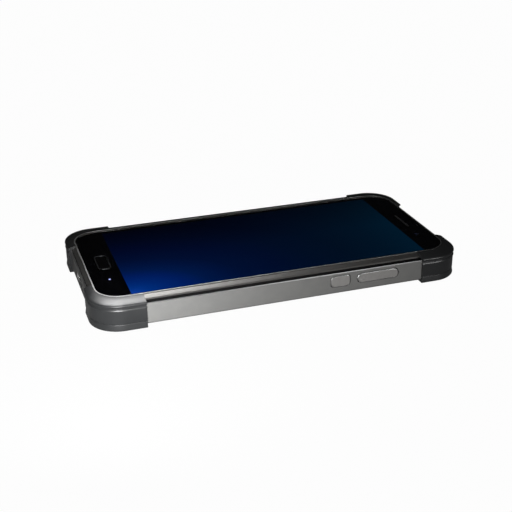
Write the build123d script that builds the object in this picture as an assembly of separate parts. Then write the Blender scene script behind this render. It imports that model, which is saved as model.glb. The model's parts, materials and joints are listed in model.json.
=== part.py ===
from build123d import *

import math
import os
from dataclasses import dataclass, replace

os.makedirs("parts", exist_ok=True)

# A pocket data collector in smartphone form. +X points to the earpiece end, -X to the home key
# and the charging port, -Y is the side with the keys, and +Z comes out of the screen. The origin
# is under the middle of the body, where the four bumper feet meet the table. Millimetres.

# ---- Driving sizes ----------------------------------------------------------------------------

# Outer form, in plan
housing_length = 149.5
housing_width = 75.8
housing_radius = 10.6
bumper_proud_end = 1.4
bumper_proud_side = 0.95
bumper_reach_home = 18.85  # along the long sides, from the housing's end by the home key
bumper_reach_ear = 17.35  # along the long sides, from the housing's end by the earpiece
bumper_reach_end = 18.4  # along the short ends, from the side of the housing
bumper_seat = 0.8  # how deep the bumpers' seats are cut into the housing wall
bumper_flange = 3.9  # foot ring turned in under the back

# The stack, from the table up
foot_height = 1.1
rear_wall = 1.2
tape_thickness = 0.2
battery_thickness = 4.4
swell_gap = 0.3  # room over the battery
mid_plate = 0.9
panel_gap = 0.3
panel_thickness = 2.0
glass_thickness = 0.9

# Bumper section
band_inset = 0.3
bead_inset = 0.1
groove_inset = 0.6
foot_inset = 0.45
crown_inset = 3.1  # from the bumper's side to where its top face bends
crown_drop = 0.25
shoulder_drop = 0.7  # from the glass down to the bumper's shoulder
shoulder_height = 0.75
groove_height = 1.0
bead_height = 0.6
foot_band = 2.9
foot_groove = 0.35
foot_round = 0.5
band_cover = 0.95  # bumper's top band over the bezel

# Housing and bezel
side_wall = 1.6
wall_drop = 1.4  # from the glass down to the housing's rim
groove_side = 2.2
groove_end = 0.5
gasket_base = 0.15
gasket_rise = 0.1  # in the groove of the long sides
lip_width = 0.5
lip_rise = 0.3
strip_drop = 1.0
rim_chamfer = 0.25
back_chamfer = 0.6
skirt_depth = 0.6
glass_ledge = 1.1

# Glass and display
bezel_end = 2.65  # from the glass to the side of the housing
bezel_side = 5.6
glass_radius = 9.3
screen_margin_home = 12.3  # from the lit area to the end of the glass
screen_margin_ear = 10.1
screen_margin_side = 1.85
panel_border = 0.5
panel_radius = 1.0
earpiece_mesh_drop = 0.2  # from the top of the glass
earpiece_mesh_thickness = 0.4
earpiece_length = 14.0
earpiece_width = 1.4
earpiece_from_end = 5.25
camera_from_centre = 14.5
front_camera_size = (4.6, 4.6, 1.6)
front_lens_radius = 1.1
key_light_radius = 0.45
key_light_from_centre = 15.0

# Home key
home_length = 13.6
home_width = 5.2
home_from_end = 7.0
home_trim = 0.35
home_travel = 0.3
home_flange = 0.25
home_flange_thickness = 0.5
home_roundness = 0.42  # corner radius over the key's width
home_ring_proud = 0.12
home_edge = 0.25
home_nub = 1.0
home_switch_size = (3.4, 4.6, 0.5)
home_plunger_radius = 1.1
home_plunger_height = 0.15

# Side keys
key_from_rim = 3.45  # from the housing's rim down to the keys' centre line
power_length = 8.0
power_height = 4.6
power_radius = 1.5
power_from_end = 52.95
volume_length = 17.7
volume_height = 4.0
volume_from_power = 16.05
key_proud = 0.4
key_flange = 0.4
key_flange_thickness = 0.6
key_nub = 0.9
key_nub_radius = 0.9
key_edge = 0.3
key_mark_radius = 0.8
key_mark_depth = 0.12
key_travel = 0.35
rock_angle = 1.5
rock_gap = 0.35  # between the rocker's flange and the wall
switch_length = 3.4
switch_height = 2.4
switch_depth = 0.9
plunger_radius = 0.8
plunger_height = 0.2
volume_switch_spread = 6.0
bracket_thickness = 0.6
pivot_radius = 0.3
pivot_wall = 0.35  # of the rocker's lug, round its pin
lug_height = 2.4
ear_wall = 0.3
ear_thickness = 0.5

# Boards and battery
board_thickness = 0.8
board_end_gap = 3.1
board_side_gap = 4.0
main_board_length = 36.0
sub_board_length = 20.0
sub_board_from_keys = 19.3  # from the housing's inner side
sub_board_past_port = 5.53  # from the port's side to the board's edge
battery_gap = 2.0
battery_edge = 0.8
battery_tape_width = 12.0
battery_tape_share = 0.8  # of the battery's length
battery_side_gap = 6.8
flex_thickness = 0.15
flex_width = 6.0
display_flex_lap = 8.0  # along the back of the panel
display_flex_from_end = 4.0
display_flex_from_tray = 5.0
lead_thickness = 0.3
lead_spacing = 8.85  # from the link flex to the battery's lead
connector_length = 3.0
connector_width = 4.0
connector_height = 1.0
connector_inset = 0.5
shield_height = 1.8
shield_wall = 0.2
bay_start = 5.5  # from the main board's edge to its shields
bay_spacing = 2.0
processor_bay_length = 15.0
processor_bay_inset = 4.5
radio_bay_width = 14.0
chip_height = 1.0
chip_margin = 1.8  # between a chip and its shield's outside

# Port, at the home key's end
port_width = 8.94
port_height = 3.2
port_depth = 7.3
port_wall = 0.3
port_radius = 1.3
tongue_width = 6.7
tongue_thickness = 0.7
tongue_radius = 0.28
tongue_length = 4.4
recess_width = 11.4
recess_height = 3.8
recess_depth = 0.5

# Card tray, on the side away from the keys
tray_width = 16.5
tray_length = 25.5
tray_thickness = 0.9
tray_floor = 0.2
tray_head_width = 18.5
tray_head_height = 2.2
tray_head_depth = 1.2
tray_from_end = 28.75
sim_size = (12.3, 8.8, 0.67)
memory_size = (11.0, 15.0, 0.7)
memory_margin = 0.1  # at the memory card's inner end
card_spacing = 0.4
pin_hole_radius = 0.45
pin_hole_depth = 1.2
pin_hole_inset = 1.25  # from the tray's edge
socket_wall = 0.3

# Sound, camera and motor
speaker_size = (15.0, 13.0, 3.4)
speaker_from_side = 15.8
speaker_edge = 1.5
sound_slots = 5
sound_slot_spread = 10.5
sound_slot_width = 0.9
sound_slot_length = 8.0
mesh_thickness = 0.2
receiver_size = (6.0, 12.0, 1.9)
receiver_neck = 0.45
microphone_size = (2.6, 3.5, 1.1)
microphone_inset = 4.0  # from the board's side
microphone_from_end = 0.3
microphone_hole = 0.5
rear_camera_size = 8.6
rear_camera_height = 3.9
rear_lens_radius = 3.0
rear_lens_rim = 0.8
rear_lens_sink = 0.4
window_radius = 4.2
window_thickness = 0.5
trim_width = 0.7
rear_camera_from_end = 13.1
flash_radius = 1.4
flash_from_camera = 9.5
gnss_size = (12.0, 12.0, 2.8)
gnss_corner = 0.8
gnss_from_end = 1.5
gnss_from_side = 3.8
motor_radius = 1.6
motor_length = 7.0
motor_x_from_end = 11.0
motor_from_side = 16.3
weight_radius = 1.4
weight_length = 3.2
weight_cap = 0.4  # metal over the shaft
shaft_hold = 0.01  # radial play of pins pressed into a bore
motor_bore = 4.2
shaft_inside = 3.5
shaft_radius = 0.35

# Screws
case_screw_radius = 0.7
case_head_radius = 1.3
case_head_height = 0.7
case_screw_tip = 0.4  # room past the screw's end
boss_radius = 1.9
boss_from_end = 4.95  # the corner bosses, from the housing's inside
boss_from_side = 4.8
middle_boss_x = 4.0
middle_boss_from_side = 2.4
board_screw_radius = 0.5
board_head_radius = 1.1
board_head_height = 0.5
board_screw_depth = 0.72  # into the back wall
board_hole_depth = 0.84
board_post_wall = 0.5
screw_slot_width = 0.3
screw_slot_share = 1.2  # slot length over head radius
board_screw_inset = 2.4  # from a board's edges
board_screw_from_tray = 9.0  # from the main board's edge by the tray
camera_screw_y = -11.6

# Clearances
fit = 0.05  # between pieces that are put together and stay
gap = 0.1  # round the glass and other inlaid pieces
slack = 0.3  # between pieces that move past each other
running = 0.05  # radial, shaft in bore
key_gap = 0.2  # round the side keys and the home key
beyond = 5.0  # how far cutting bodies reach past the housing

# ---- Sizes that follow ------------------------------------------------------------------------


@dataclass(frozen=True)
class Outline:
    """A rounded rectangle seen from above."""

    length: float
    width: float
    radius: float
    x: float = 0.0
    y: float = 0.0

    def grown(self, by):
        """The same outline, moved outwards all round."""
        return replace(
            self, length=self.length + 2 * by, width=self.width + 2 * by, radius=self.radius + by
        )

    def face(self, z):
        return Pos(self.x, self.y, z) * RectangleRounded(self.length, self.width, self.radius)

    def slab(self, low, high):
        return extrude(self.face(low), high - low)

    def frustum(self, low, top, high):
        """A solid from this outline at one height to another outline above it."""
        return loft([self.face(low).face(), top.face(high).face()], ruled=True)


housing = Outline(housing_length, housing_width, housing_radius)
inside = housing.grown(-side_wall)
seat = housing.grown(-bumper_seat)
bumper = Outline(
    housing_length + 2 * bumper_proud_end,
    housing_width + 2 * bumper_proud_side,
    housing_radius + bumper_proud_end,
)
glass_length = housing_length - 2 * bezel_end
glass_width = housing_width - 2 * bezel_side
active_length = glass_length - screen_margin_home - screen_margin_ear
active_width = glass_width - 2 * screen_margin_side
active_x = (screen_margin_home - screen_margin_ear) / 2
glass = Outline(glass_length, glass_width, glass_radius)
lip = glass.grown(gap + lip_width)
bezel_edge = replace(
    housing,
    length=housing_length - 2 * groove_end,
    width=housing_width - 2 * groove_side,
    radius=housing_radius - groove_end,
)
skirt = inside.grown(-gap)
window = glass.grown(-glass_ledge)
panel = Outline(
    active_length + 2 * panel_border, active_width + 2 * panel_border, panel_radius, active_x
)
mid_outline = inside.grown(-slack)

z_back = foot_height
z_floor = z_back + rear_wall
z_battery = z_floor + tape_thickness
z_mid = z_battery + battery_thickness + swell_gap
z_mid_top = z_mid + mid_plate
z_panel = z_mid_top + panel_gap
z_glass = z_panel + panel_thickness
z_top = z_glass + glass_thickness
z_rim = z_top - wall_drop
z_base = z_rim + gasket_base
z_skirt = z_rim - skirt_depth
z_strip = z_top - strip_drop
z_cover = z_top - band_cover
z_shoulder = z_top - shoulder_drop
z_lip = z_top + lip_rise
z_board = z_floor + tape_thickness
z_board_top = z_board + board_thickness

end_x = housing_length / 2
side_y = housing_width / 2
wall_y = inside.width / 2
inner_x = inside.length / 2
bumper_y = side_y - bumper_reach_end

key_z = z_rim - key_from_rim
power_x = end_x - power_from_end
volume_x = power_x + volume_from_power

tray_x = end_x - tray_from_end
socket_low = z_board_top
tray_z = socket_low + socket_wall + slack
tray_end = wall_y - tray_head_depth
tray_start = tray_end - tray_length
socket_top = tray_z + tray_thickness + slack + socket_wall

home_x = -(glass_length / 2 - home_from_end)
earpiece_x = glass_length / 2 - earpiece_from_end
rear_camera_x = inner_x - rear_camera_from_end
port_z = z_board_top + port_height / 2
motor_x = -(inner_x - motor_x_from_end)
motor_y = -(wall_y - motor_from_side)
motor_z = z_floor + motor_radius + gap

main_end = inner_x - board_end_gap
main_start = main_end - main_board_length
main_side = wall_y - board_side_gap
sub_board_low = -(wall_y - sub_board_from_keys)
sub_board_high = port_width / 2 + sub_board_past_port
microphone_y = sub_board_low + microphone_inset
speaker_y = wall_y - speaker_from_side
radio_high = tray_start - slack - socket_wall - bay_spacing - connector_inset
radio_low = radio_high - radio_bay_width
link_y = tray_start - slack - socket_wall - (flex_width + connector_width) / 3
battery_lead_y = link_y - lead_spacing
sub_start = -main_end
sub_end = sub_start + sub_board_length
battery_start = sub_end + battery_gap
battery_end = main_start - battery_gap
battery_side = wall_y - battery_side_gap

corner_boss_x = inner_x - boss_from_end
corner_boss_y = wall_y - boss_from_side
middle_boss_y = wall_y - middle_boss_from_side
case_screws_at = [(sx * corner_boss_x, sy * corner_boss_y) for sx in (-1, 1) for sy in (-1, 1)]
case_screws_at += [(middle_boss_x, sy * middle_boss_y) for sy in (-1, 1)]
board_screws_at = [
    (main_start + board_screw_inset, -main_side + board_screw_inset),
    (main_end - board_screw_inset, camera_screw_y),
    (main_end - board_screw_inset, main_side - board_screw_from_tray),
    (sub_end - board_screw_inset, sub_board_low + board_screw_inset),
    (sub_start + board_screw_inset, sub_board_high - board_screw_inset),
]


def block(x0, x1, y0, y1, z0, z1):
    """A box from its low to its high corner."""
    return Pos((x0 + x1) / 2, (y0 + y1) / 2, (z0 + z1) / 2) * Box(x1 - x0, y1 - y0, z1 - z0)


def on(x, y, z, size):
    """A box of this size, centred at x and y, standing at z."""
    return Pos(x, y, z + size[2] / 2) * Box(*size)


def post(x, y, z0, z1, radius):
    """An upright cylinder."""
    return Pos(x, y, (z0 + z1) / 2) * Cylinder(radius, z1 - z0)


def along_y(sketch, x, z, y0, y1):
    """A sketch that faces the side of the body, drawn out between two depths."""
    start = Plane(origin=(x, y0, z), x_dir=(1, 0, 0), z_dir=(0, 1, 0))
    return extrude(start * sketch, y1 - y0)


def along_x(sketch, y, z, x0, x1):
    """A sketch that faces the end of the body, drawn out between two depths."""
    start = Plane(origin=(x0, y, z), x_dir=(0, 1, 0), z_dir=(1, 0, 0))
    return extrude(start * sketch, x1 - x0)


def write(name, shape):
    """Writes one node, of one solid or of several that are the same."""
    export_step(shape, f"parts/{name}.step")


# ---- Case -------------------------------------------------------------------------------------


def bumper_block():
    """The bumpers' common outer form, before it is divided into corners."""
    band = bumper.grown(-band_inset)
    bead = bumper.grown(-bead_inset)
    groove = bumper.grown(-groove_inset)
    crown = bumper.grown(-crown_inset)
    z_crown = z_lip - crown_drop
    z_edge = z_shoulder - shoulder_height
    z_groove = z_edge - groove_height
    z_bead = z_groove - bead_height
    foot = bumper.slab(0, foot_band - foot_groove)
    foot = fillet(foot.edges().group_by(Axis.Z)[0], foot_round)
    body = foot + bumper.grown(-foot_inset).slab(foot_band - foot_groove, foot_band)
    body += band.slab(foot_band, z_bead)
    body += bead.slab(z_bead, z_groove)
    body += groove.slab(z_groove, z_edge)
    body += bead.slab(z_edge, z_shoulder)
    return body + bead.frustum(z_shoulder, crown, z_crown) + crown.frustum(z_crown, lip, z_lip)


def corner_region(sx, sy, extra=0.0):
    """All that lies in one corner of the body, as far as its bumper reaches."""
    far = housing_length
    reach = bumper_reach_ear if sx > 0 else bumper_reach_home
    x0, x1 = sorted((sx * (end_x - reach - extra), sx * far))
    y0, y1 = sorted((sy * (bumper_y - extra), sy * far))
    return block(x0, x1, y0, y1, -far, far)


CORNERS = {
    "bottom_right": (-1, -1),
    "top_right": (1, -1),
    "bottom_left": (-1, 1),
    "top_left": (1, 1),
}


def bumpers():
    """Four soft corners that grip the housing's seats and the bezel's rim."""
    body = bumper_block()
    body -= seat.grown(fit).slab(z_back, z_base + fit)
    body -= inside.slab(z_base, z_cover)
    body -= lip.grown(fit).slab(z_cover, z_lip + 1)
    body -= bumper.grown(-bumper_flange).slab(-1, z_back)
    return {f"bumper_{name}": body & corner_region(*side) for name, side in CORNERS.items()}


def all_corners(extra=0.0):
    """The four corner regions, a little larger than the bumpers that go there."""
    return Compound([corner_region(sx, sy, extra) for sx, sy in CORNERS.values()])


def outside(outline, low, high):
    """All that lies round an outline, between two heights."""
    return housing.grown(beyond).slab(low, high) - outline.slab(low, high)


def rear_housing():
    """The tub: back and side walls, bosses, and every opening in them."""
    body = housing.slab(z_back, z_rim)
    body = chamfer(body.edges().group_by(Axis.Z)[0], back_chamfer)
    body = chamfer(body.edges().group_by(Axis.Z)[-1], rim_chamfer)
    body -= outside(seat, 0, z_top) & all_corners(fit)
    body -= inside.slab(z_floor, z_top)
    for x, y in case_screws_at:
        body += post(x, y, z_floor, z_mid, boss_radius)
    for x, y in board_screws_at:
        body += post(x, y, z_floor, z_board, board_head_radius + board_post_wall)
    for x, y in case_screws_at:
        body -= post(x, y, z_back, z_mid, case_screw_radius + fit)
        body -= post(x, y, z_back, z_back + case_head_height + gap, case_head_radius + gap)
    for x, y in board_screws_at:
        body -= post(x, y, z_floor - board_hole_depth, z_board, board_screw_radius + fit)
    return body - key_openings() - port_opening() - tray_opening() - back_openings()


def key_openings():
    """The holes that the side keys come through."""
    power = RectangleRounded(power_length + 2 * key_gap, power_height + 2 * key_gap, power_radius)
    volume = SlotOverall(volume_length + 2 * key_gap, volume_height + 2 * key_gap)
    deep = (-side_y - 1, -wall_y + 1)
    return along_y(power, power_x, key_z, *deep) + along_y(volume, volume_x, key_z, *deep)


def port_opening():
    """The hole round the port's shell, its shallow outer recess and the microphone's hole."""
    outline = RectangleRounded(port_width + 2 * gap, port_height + 2 * gap, port_radius + gap)
    recess = SlotOverall(recess_width, recess_height)
    hole = along_x(outline, 0, port_z, -end_x - 1, -inner_x + 1)
    hole += along_x(recess, 0, port_z, -end_x - 1, -end_x + recess_depth)
    ear = along_x(Circle(microphone_hole), microphone_y, microphone_z(), -end_x - 1, -inner_x + 1)
    return hole + ear


def microphone_z():
    return z_board_top + microphone_size[2] / 2


def tray_opening():
    """The hole that the card tray's head closes."""
    head = RectangleRounded(tray_head_width + 2 * gap, tray_head_height + 2 * gap, head_radius())
    return along_y(head, tray_x, tray_z + tray_thickness / 2, wall_y - 1, side_y + 1)


def head_radius():
    return tray_head_height / 2 - gap


def speaker_x():
    return sub_start + speaker_size[0] / 2


def back_openings():
    """Camera window, flash and sound slots in the back."""
    cut = post(rear_camera_x, 0, z_back, z_floor, rear_lens_radius + gap)
    seat_low = z_back + window_thickness + gap
    cut += post(rear_camera_x, 0, z_back, seat_low, window_radius + trim_width + gap)
    cut += post(rear_camera_x, -flash_from_camera, z_back, z_floor, flash_radius + gap)
    pitch = sound_slot_spread / (sound_slots - 1)
    slot = Rot(0, 0, 90) * SlotOverall(sound_slot_length, sound_slot_width)
    for i in range(sound_slots):
        x = speaker_x() + (i - (sound_slots - 1) / 2) * pitch
        cut += extrude(Pos(x, speaker_y, z_back) * slot, rear_wall)
    mesh = speaker_size[0] + 2 * gap, speaker_size[1] + 2 * gap, mesh_thickness
    return cut + on(speaker_x(), speaker_y, z_floor - mesh_thickness, mesh)


def front_bezel():
    """The frame round the glass: a raised lip, a sloping strip and a skirt in the housing."""
    body = bezel_edge.slab(z_base, z_strip) + bezel_edge.frustum(z_strip, lip, z_top)
    body += lip.slab(z_top, z_lip) + skirt.slab(z_skirt, z_base)
    body -= glass.grown(gap).slab(z_glass, z_lip + 1) + window.slab(0, z_top)
    body -= outside(skirt, z_base, z_cover) & all_corners(fit)
    body -= outside(lip, z_cover, z_lip + 1) & all_corners(fit)
    for x, y in case_screws_at:
        body += post(x, y, z_mid_top, z_skirt, boss_radius) - window.slab(0, z_skirt)
        body -= post(x, y, z_mid_top, z_skirt + case_screw_tip, case_screw_radius + shaft_hold)
    return body


def bezel_gasket():
    """The dark seal in the groove between bezel and housing."""
    outer = housing.grown(-rim_chamfer - fit)
    ring = outer.slab(z_rim, z_base) - inside.slab(z_rim, z_base)
    ring -= outside(seat.grown(-fit), z_rim, z_base) & all_corners(fit)
    high = z_base + gasket_rise
    raised = outer.slab(z_base, high) - bezel_edge.grown(fit).slab(z_base, high)
    low_x, high_x = bumper_reach_home - end_x + fit, end_x - bumper_reach_ear - fit
    return ring + (raised & block(low_x, high_x, -side_y, side_y, z_base, high))


def mid_frame():
    """The stiff plate between the display and the boards."""
    body = mid_outline.slab(z_mid, z_mid_top)
    for x, y in case_screws_at:
        body -= post(x, y, z_mid, z_mid_top, case_screw_radius + fit)
    low, high = bracket_span()
    deep = bracket_y() + bracket_thickness + fit
    body -= block(low - slack, high + slack, -side_y, deep, z_mid, z_mid_top)
    return body - display_slot()


def bracket_y():
    """The face of the key bracket that the flex lies on."""
    return switch_face_y() + switch_depth + flex_thickness


def switch_face_y():
    """The face of the switches that the keys press."""
    return -wall_y + fit + key_flange_thickness + key_nub + key_travel + fit


# ---- Glass and display ------------------------------------------------------------------------


def home_slot(by=0.0):
    return Rot(0, 0, 90) * RectangleRounded(
        home_length + 2 * by, home_width + 2 * by, (home_width + 2 * by) * home_roundness
    )


def earpiece_slot(by=0.0):
    return Rot(0, 0, 90) * SlotOverall(earpiece_length + 2 * by, earpiece_width + 2 * by)


def cover_glass():
    """Hardened glass with the home key's and the earpiece's openings."""
    body = glass.slab(z_glass, z_top)
    body -= extrude(Pos(home_x, 0, z_glass) * home_slot(fit), glass_thickness)
    return body - extrude(Pos(earpiece_x, 0, z_glass) * earpiece_slot(), glass_thickness)


def display_panel():
    return panel.slab(z_panel, z_glass)


def display_slot():
    """The slot in the mid frame that the display's flex goes through."""
    x, y = display_flex_at()
    return block(x - slack, x + 2 * slack, y - flex_width, y + flex_width, z_mid, z_mid_top)


def display_flex_at():
    x = panel.x + panel.length / 2 - display_flex_from_end
    return x, (tray_start + wall_y) / 2 - display_flex_from_tray


def display_flex():
    """From the back of the panel, through the mid frame, to the main board's connector."""
    x, y = display_flex_at()
    y0, y1 = y - flex_width / 2, y + flex_width / 2
    low = z_board_top + connector_height
    start = x - display_flex_lap
    body = block(start, x + flex_thickness, y0, y1, z_panel - flex_thickness, z_panel)
    body += block(x, x + flex_thickness, y0, y1, low, z_panel)
    return body + block(x, x + connector_length, y0, y1, low, low + flex_thickness)


def display_connector():
    x, y = display_flex_at()
    return on(
        x + connector_length / 2 + flex_thickness,
        y,
        z_board_top,
        (connector_length, flex_width, connector_height),
    )


def earpiece_mesh():
    """Fine mesh in the earpiece slot, a little under the glass."""
    low = z_top - earpiece_mesh_drop - earpiece_mesh_thickness
    return extrude(Pos(earpiece_x, 0, low) * earpiece_slot(-gap), earpiece_mesh_thickness)


def earpiece_receiver():
    body = on(earpiece_x, 0, z_mid_top, receiver_size)
    top = Pos(earpiece_x, 0, z_mid_top + receiver_size[2])
    return body + extrude(top * earpiece_slot(-gap), receiver_neck)


def front_camera():
    """Small camera behind the glass, beside the earpiece."""
    x, y = earpiece_x, -camera_from_centre
    body = on(x, y, z_mid_top, front_camera_size)
    return body + post(x, y, z_mid_top + front_camera_size[2], z_glass - fit, front_lens_radius)


def key_light():
    """Light guide under the glass beside the home key."""
    return post(home_x, -key_light_from_centre, z_mid_top, z_glass, key_light_radius)


# ---- Home key ---------------------------------------------------------------------------------


def home_ring():
    """Metal trim set in the glass round the home key."""
    ring = extrude(Pos(home_x, 0, z_glass) * home_slot(), glass_thickness + home_ring_proud)
    return ring - extrude(Pos(home_x, 0, z_glass) * home_slot(-home_trim), glass_thickness + 1)


def home_key():
    """The cap, its flange under the trim and the nub that presses the switch."""
    cap = home_slot(-home_trim - key_gap)
    flange_low = z_glass - slack - home_flange_thickness
    body = extrude(Pos(home_x, 0, flange_low) * cap, z_top - flange_low)
    body = fillet(body.edges().group_by(Axis.Z)[-1], home_edge)
    flange = home_slot(home_flange)
    body += extrude(Pos(home_x, 0, flange_low) * flange, home_flange_thickness)
    return body + post(home_x, 0, home_switch_top() + home_travel + fit, flange_low, home_nub)


def home_switch_top():
    return z_mid_top + home_switch_size[2] + home_plunger_height


def home_switch():
    body = on(home_x, 0, z_mid_top, home_switch_size)
    low = z_mid_top + home_switch_size[2]
    return body + post(home_x, 0, low, home_switch_top(), home_plunger_radius)


# ---- Side keys --------------------------------------------------------------------------------


def power_key():
    cap = RectangleRounded(power_length, power_height, power_radius - key_gap)
    face = -side_y - key_proud
    inner = -wall_y + fit + key_flange_thickness
    body = along_y(cap, power_x, key_z, face, inner)
    body = fillet(body.edges().group_by(Axis.Y)[0], key_edge)
    flange = Rectangle(power_length + 2 * key_flange, power_height + 2 * key_flange)
    body += along_y(flange, power_x, key_z, -wall_y + fit, inner)
    return body + along_y(Circle(key_nub_radius), power_x, key_z, inner, inner + key_nub)


def volume_key():
    """A rocker: one bar with two nubs, turning on an upright pin at its middle."""
    face = -side_y - key_proud
    flange_y = -wall_y + rock_gap
    inner = flange_y + key_flange_thickness
    body = along_y(SlotOverall(volume_length, volume_height), volume_x, key_z, face, inner)
    body = fillet(body.edges().group_by(Axis.Y)[0], key_edge)
    mark = volume_x - volume_length / 2 + volume_height / 2
    body -= along_y(Circle(key_mark_radius), mark, key_z, face, face + key_mark_depth)
    flange = Rectangle(volume_length + 2 * key_flange, volume_height + 2 * key_flange)
    body += along_y(flange, volume_x, key_z, flange_y, inner)
    for side in (-1, 1):
        x = volume_x + side * volume_switch_spread
        body += along_y(Circle(key_nub_radius), x, key_z, inner, switch_face_y() - rock_room())
    lug = pivot_radius + pivot_wall
    body += block(volume_x - lug, volume_x + lug, inner, pivot_y() + lug, *lug_span())
    return body - post(volume_x, pivot_y(), 0, z_top, pivot_radius + running)


def rock_room():
    """How far the rocker's nubs travel to their switches, and a little more."""
    return volume_switch_spread * math.tan(math.radians(rock_angle)) + 2 * fit


def pivot_y():
    return -wall_y + rock_gap + key_flange_thickness + slack + ear_wall + pivot_radius


def lug_span():
    return key_z - lug_height / 2, key_z + lug_height / 2


def volume_pivot():
    low, high = lug_span()
    reach = slack + ear_thickness
    return post(volume_x, pivot_y(), low - reach, high + reach, pivot_radius)


def side_switch(x):
    """One tactile switch: a body on the flex and a round plunger towards the key."""
    face = switch_face_y()
    front = face + plunger_height
    body = along_y(Rectangle(switch_length, switch_height), x, key_z, front, face + switch_depth)
    return body + along_y(Circle(plunger_radius), x, key_z, face, front)


def power_switch():
    return side_switch(power_x)


def volume_switches():
    sides = (-volume_switch_spread, volume_switch_spread)
    return Compound([side_switch(volume_x + side) for side in sides])


def bracket_span():
    low = power_x - power_length / 2 - key_flange - slack
    return low, volume_x + volume_length / 2 + key_flange + slack


def key_flex():
    """The flex strip that carries the side switches."""
    low, high = bracket_span()
    y = bracket_y()
    bottom, top = lug_span()
    return block(low, high, y - flex_thickness, y, bottom - slack, top + slack)


def key_bracket():
    """Upright plate behind the switches, with the two ears that hold the rocker's pin."""
    low, high = bracket_span()
    y = bracket_y()
    top = lug_span()[1] + slack + ear_thickness
    body = block(low, high, y, y + bracket_thickness, z_floor, top)
    ear = pivot_radius + ear_wall
    for z in (lug_span()[0] - slack - ear_thickness, lug_span()[1] + slack):
        body += block(volume_x - ear, volume_x + ear, pivot_y() - ear, y, z, z + ear_thickness)
    return body - post(volume_x, pivot_y(), z_floor, z_top, pivot_radius + shaft_hold)


# ---- Boards and battery -----------------------------------------------------------------------


def boss_clearance(body):
    """Cuts room for the case screws' bosses out of a board."""
    for x, y in case_screws_at:
        body -= post(x, y, z_floor, z_mid, boss_radius + slack)
    return body


def screw_holes(body):
    for x, y in board_screws_at:
        body -= post(x, y, z_floor, z_mid, board_screw_radius + fit)
    return body


def main_board():
    body = block(main_start, main_end, -main_side, main_side, z_board, z_board_top)
    hole = rear_camera_size + 2 * slack
    body -= on(rear_camera_x, 0, z_board, (hole, hole, board_thickness))
    return screw_holes(boss_clearance(body))


def sub_board():
    body = block(sub_start, sub_end, sub_board_low, sub_board_high, z_board, z_board_top)
    return screw_holes(boss_clearance(body))


def battery():
    high = z_battery + battery_thickness
    body = block(battery_start, battery_end, -battery_side, battery_side, z_battery, high)
    return fillet(body.edges().filter_by(Axis.X), battery_edge)


def battery_tapes():
    """Two pull-out adhesive strips under the battery."""
    length = (battery_end - battery_start) * battery_tape_share
    size = (length, battery_tape_width, tape_thickness)
    middle = (battery_start + battery_end) / 2
    return Compound([on(middle, sy * battery_side / 2, z_floor, size) for sy in (-1, 1)])


def battery_lead():
    """The battery's flat lead and its plug on the main board."""
    x1 = main_start + connector_inset + connector_length
    y0, y1 = battery_lead_y - flex_width / 2, battery_lead_y + flex_width / 2
    low = z_board_top + connector_height
    body = block(battery_end, x1, y0 + slack, y1 - slack, low, low + lead_thickness)
    return body + block(x1 - connector_length, x1, y0, y1, z_board_top, low)


def link_flex():
    """The flat cable over the battery, from the sub board to the main board."""
    y0, y1 = link_y - connector_width / 2, link_y + connector_width / 2
    low = z_board_top + connector_height
    high = z_battery + battery_thickness
    turn = battery_gap / 2
    x0, x1 = battery_start - turn, battery_end + turn
    reach = connector_length + connector_inset
    body = block(sub_end - reach, x0, y0, y1, low, low + flex_thickness)
    body += block(x0 - flex_thickness, x0, y0, y1, low, high + flex_thickness)
    body += block(x0 - flex_thickness, x1 + flex_thickness, y0, y1, high, high + flex_thickness)
    body += block(x1, x1 + flex_thickness, y0, y1, low, high + flex_thickness)
    return body + block(x1, main_start + reach, y0, y1, low, low + flex_thickness)


def link_connectors():
    size = (connector_length, connector_width, connector_height)
    middle = connector_inset + connector_length / 2
    return Compound([on(x, link_y, z_board_top, size) for x in (sub_end - middle, main_start + middle)])


def shield_can(x0, x1, y0, y1):
    """A drawn metal lid, open below."""
    z1 = z_board_top + shield_height
    body = block(x0, x1, y0, y1, z_board_top, z1)
    w = shield_wall
    return body - block(x0 + w, x1 - w, y0 + w, y1 - w, z_board_top, z1 - w)


def processor_bay():
    start = main_start + bay_start
    return start, start + processor_bay_length, -main_side + processor_bay_inset, radio_low - bay_spacing


def radio_bay():
    end = rear_camera_x - rear_camera_size / 2 - slack - connector_inset
    return main_start + bay_start, end, radio_low, radio_high


def chip_in(bay):
    """The chip in the middle of a shield's bay."""
    x0, x1, y0, y1 = bay
    m = chip_margin
    return block(x0 + m, x1 - m, y0 + m, y1 - m, z_board_top, z_board_top + chip_height)


def gnss_antenna():
    """Ceramic patch for satellite positioning."""
    x = main_end - gnss_size[0] / 2 - gnss_from_end
    y = -main_side + gnss_size[1] / 2 + gnss_from_side
    body = on(x, y, z_board_top, gnss_size)
    return chamfer(body.edges().filter_by(Axis.Z), gnss_corner)


# ---- Port, sound, camera ----------------------------------------------------------------------


def port_start():
    return -end_x + recess_depth


def usb_port():
    """The charging and data port's shell, closed at the back."""
    outer = RectangleRounded(port_width, port_height, port_radius)
    bore = RectangleRounded(
        port_width - 2 * port_wall, port_height - 2 * port_wall, port_radius - port_wall
    )
    start = port_start()
    body = along_x(outer, 0, port_z, start, start + port_depth)
    return body - along_x(bore, 0, port_z, start, start + port_depth - 2 * port_wall)


def port_tongue():
    """The contact tongue in the middle of the port."""
    back = port_start() + port_depth - 2 * port_wall
    shape = RectangleRounded(tongue_width, tongue_thickness, tongue_radius)
    return along_x(shape, 0, port_z, back - tongue_length, back)


def microphone():
    x = sub_start + microphone_size[0] / 2 + microphone_from_end
    return on(x, microphone_y, z_board_top, microphone_size)


def loudspeaker():
    body = on(speaker_x(), speaker_y, z_floor, speaker_size)
    return fillet(body.edges().filter_by(Axis.Z), speaker_edge)


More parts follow.
